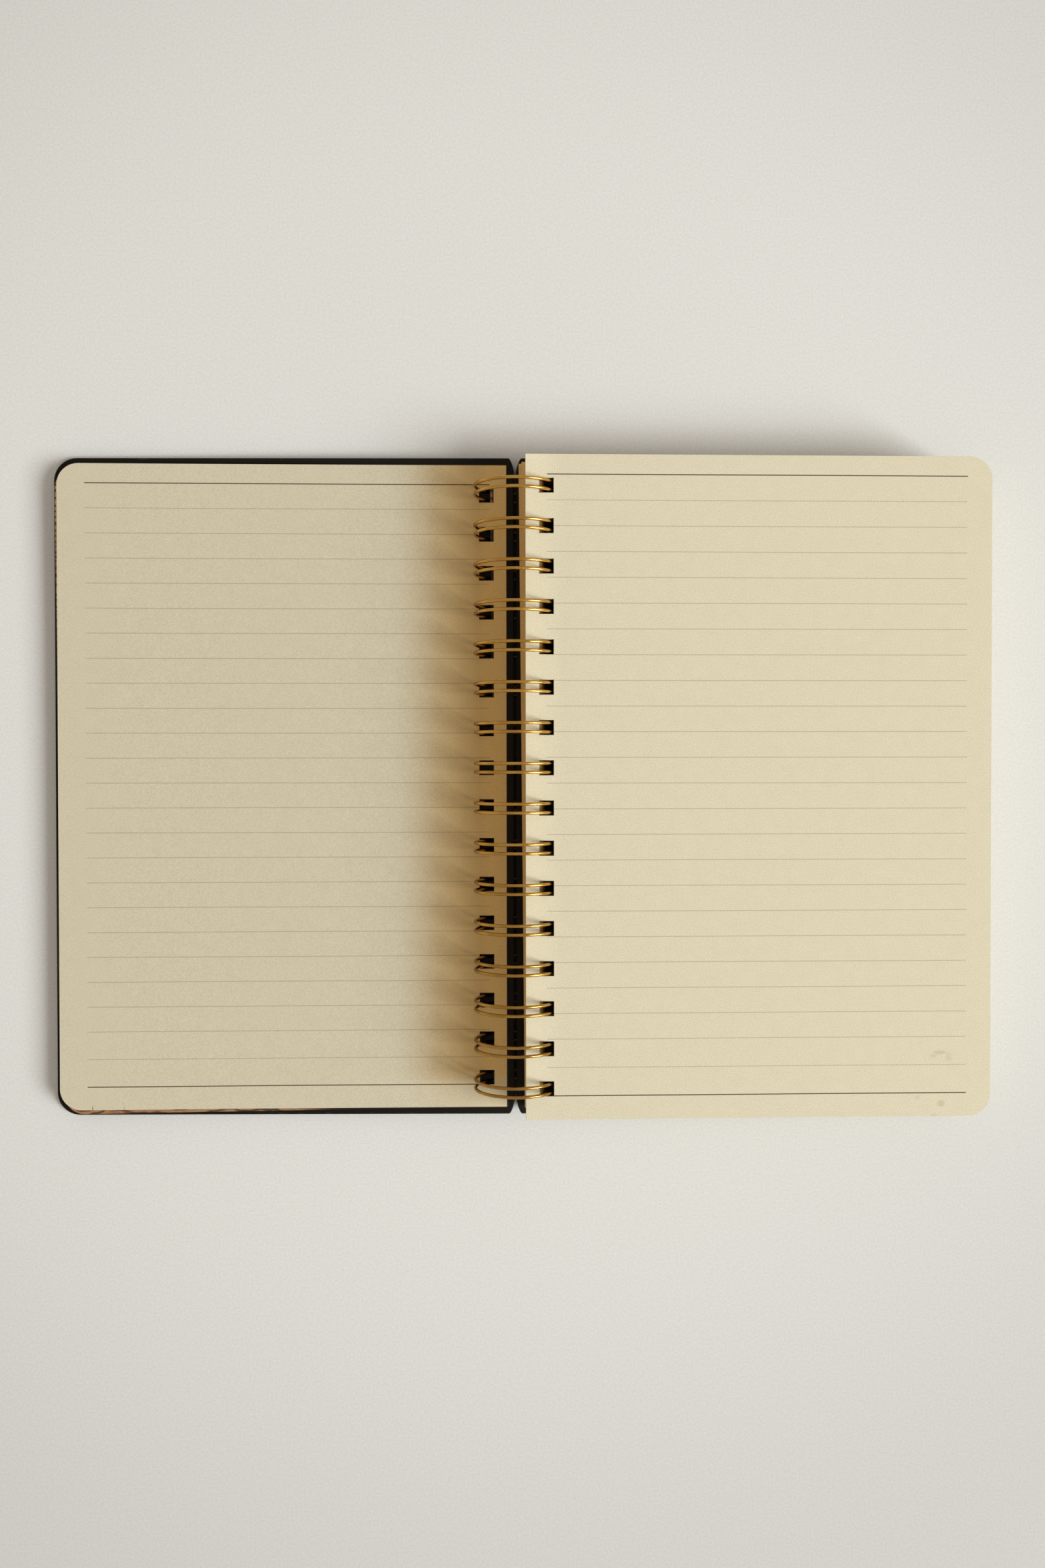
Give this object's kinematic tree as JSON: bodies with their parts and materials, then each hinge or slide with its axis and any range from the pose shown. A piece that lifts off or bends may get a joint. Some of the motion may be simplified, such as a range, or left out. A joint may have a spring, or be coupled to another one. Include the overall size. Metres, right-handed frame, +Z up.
{
  "type": "spiral notebook",
  "caption": "Hardcover twin-loop wire-bound notebook lying open, with black wrapped boards, a thick ruled page block and a turned leaf over a patterned endleaf.",
  "frame": {"origin": "on the table, under the middle of the open notebook's bounding box", "axes": "+X across the open book, from the front cover's fore-edge to the block's fore-edge; +Y up the page, towards its head; +Z up from the table"},
  "size_m": [0.3038, 0.215, 0.0272],
  "materials": {
    "cover_wrap": "black grained wrap over greyboard, satin",
    "lining_paper": "matte black lining",
    "endleaf_paper": "printed orange and brown marbling, matte",
    "page_paper": "cream uncoated paper with brown ruled lines",
    "wire": "gold-coloured coated wire, semi-gloss"
  },
  "bodies": {
    "back_half": {"back_cover": "cover_wrap", "back_lining": "lining_paper", "page_block": "page_paper", "binding_wire": "wire"},
    "front_half": {"front_cover": "cover_wrap", "front_lining": "lining_paper"},
    "turned_leaves": {"patterned_endleaf": "endleaf_paper", "turned_leaf": "page_paper"}
  },
  "joints": [
    {"name": "front_cover_swing", "type": "hinge", "parent": "back_half", "child": "front_half", "pos_m": [-0.00156, 0, 0.0136], "axis": [0, 1, 0], "range_deg": [0, 180]},
    {"name": "leaf_turn", "type": "hinge", "parent": "back_half", "child": "turned_leaves", "pos_m": [-0.00156, 0, 0.0136], "axis": [0, 1, 0], "range_deg": [0, 180]}
  ],
  "couplings": [
    {"joint": "leaf_turn", "follows": "front_cover_swing", "ratio": 1}
  ]
}
